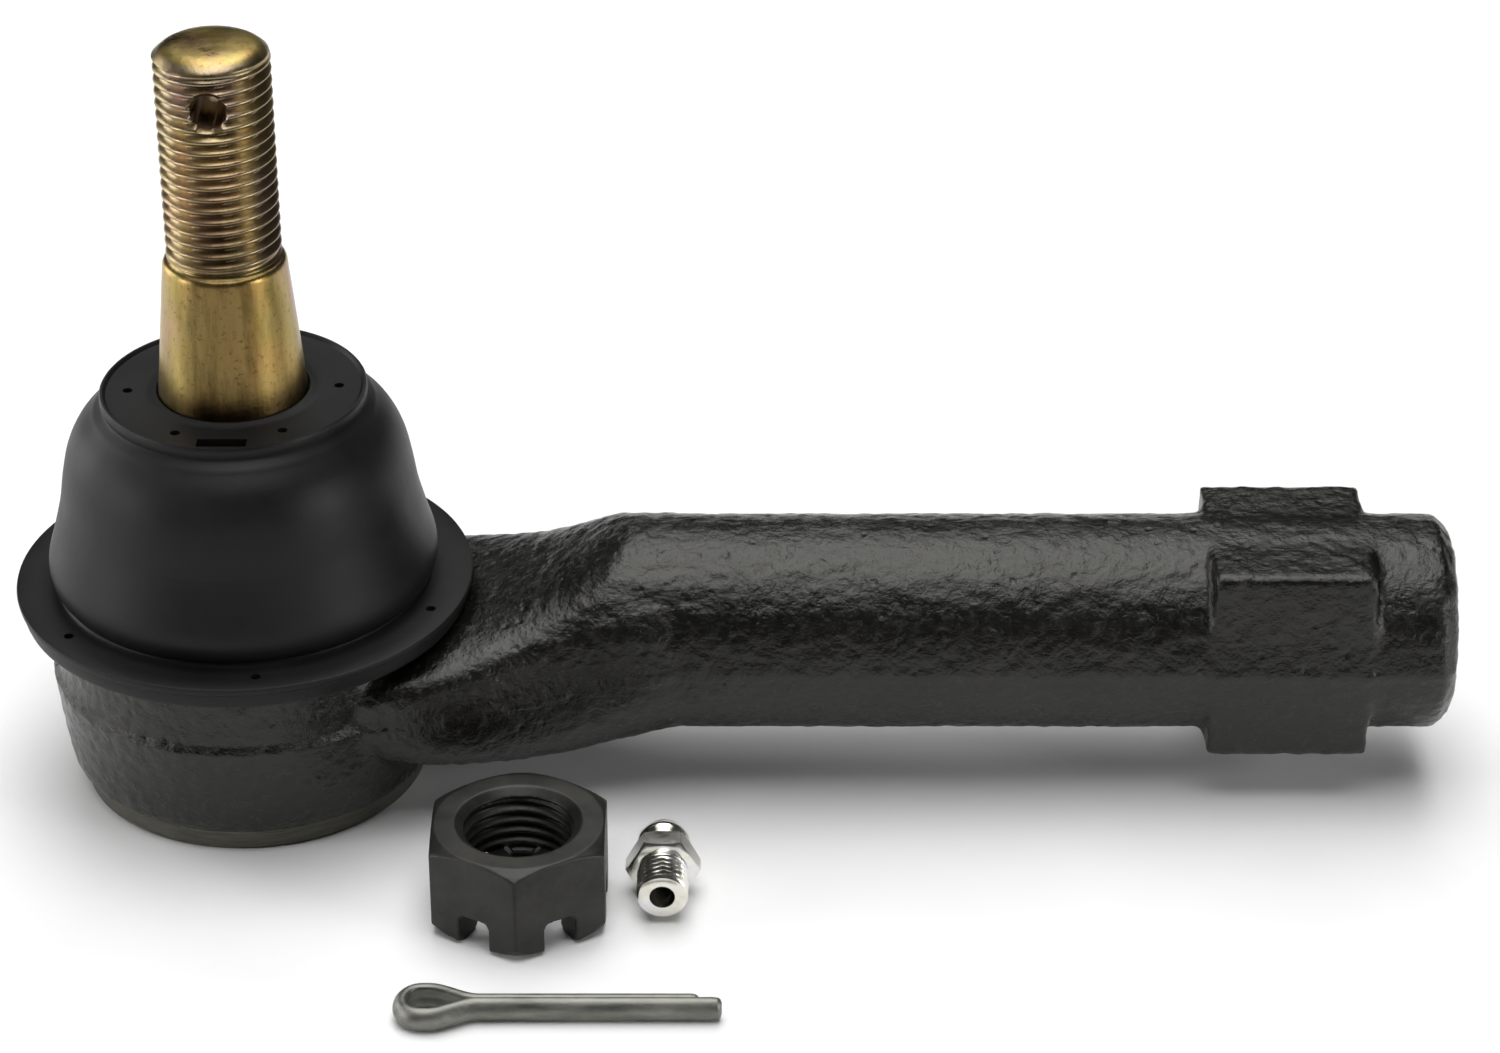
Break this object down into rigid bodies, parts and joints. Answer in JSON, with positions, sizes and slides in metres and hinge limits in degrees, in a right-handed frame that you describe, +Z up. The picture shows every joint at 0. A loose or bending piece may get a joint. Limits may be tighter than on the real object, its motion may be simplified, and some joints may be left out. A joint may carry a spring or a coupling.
{
  "type": "tie rod end",
  "caption": "Steering tie rod end: tapered, threaded ball stud in a booted forged socket with a female-threaded shank, plus slotted nut, cotter pin and grease fitting.",
  "frame": {"origin": "centre of the ball, where the stud's axis crosses the axes that it swings about", "axes": "+Z up the stud's axis at rest, +X along the shank away from the ball, +Y completes the right-handed frame"},
  "size_m": [0.1796, 0.0888, 0.0996],
  "materials": {
    "black_coated_forging": "rough black coating over forged steel",
    "zinc_dichromate_steel": "yellow zinc dichromate plating",
    "boot_rubber": "satin moulded rubber",
    "bearing_polymer": "natural polymer",
    "plain_steel": "plain steel",
    "black_phosphate_steel": "black phosphate",
    "grey_wire_steel": "dull drawn wire",
    "bright_zinc": "bright zinc plate"
  },
  "bodies": {
    "housing": {"housing": "black_coated_forging", "lower_bearing": "bearing_polymer", "preload_spring": "plain_steel", "cover_plate": "plain_steel", "boot_base_ring": "plain_steel", "boot": "boot_rubber"},
    "bearing": {"upper_bearing": "bearing_polymer"},
    "seal": {"seal_bush": "bearing_polymer", "boot_top_ring": "plain_steel"},
    "stud": {"ball_stud": "zinc_dichromate_steel"},
    "nut": {"castle_nut": "black_phosphate_steel"},
    "cotter_pin": {"cotter_pin": "grey_wire_steel"},
    "fitting": {"grease_fitting": "bright_zinc", "fitting_spring": "plain_steel"},
    "check_ball": {"fitting_check_ball": "plain_steel"}
  },
  "joints": [
    {"name": "stud_swing_along", "type": "hinge", "parent": "housing", "child": "bearing", "pos_m": [0, 0, 0], "axis": [0, 1, 0], "range_deg": [-18, 18], "deforming": ["boot"]},
    {"name": "stud_swing_across", "type": "hinge", "parent": "bearing", "child": "seal", "pos_m": [0, 0, 0], "axis": [1, 0, 0], "range_deg": [-18, 18], "deforming": ["boot"]},
    {"name": "stud_spin", "type": "hinge", "parent": "seal", "child": "stud", "pos_m": [0, 0, 0], "axis": [0, 0, 1], "continuous": true},
    {"name": "nut_lift", "type": "slide", "parent": "housing", "child": "nut", "axis": [0, 0, 1], "range_m": [0, 0.06]},
    {"name": "cotter_pin_lift", "type": "slide", "parent": "housing", "child": "cotter_pin", "axis": [0, 0, 1], "range_m": [0, 0.06]},
    {"name": "fitting_lift", "type": "slide", "parent": "housing", "child": "fitting", "axis": [0, 0, 1], "range_m": [0, 0.06]},
    {"name": "check_ball_press", "type": "slide", "parent": "fitting", "child": "check_ball", "axis": [0, -1, 0], "range_m": [0, 0.0008], "stiffness_N_per_m": 200, "deforming": ["fitting_spring"]}
  ]
}
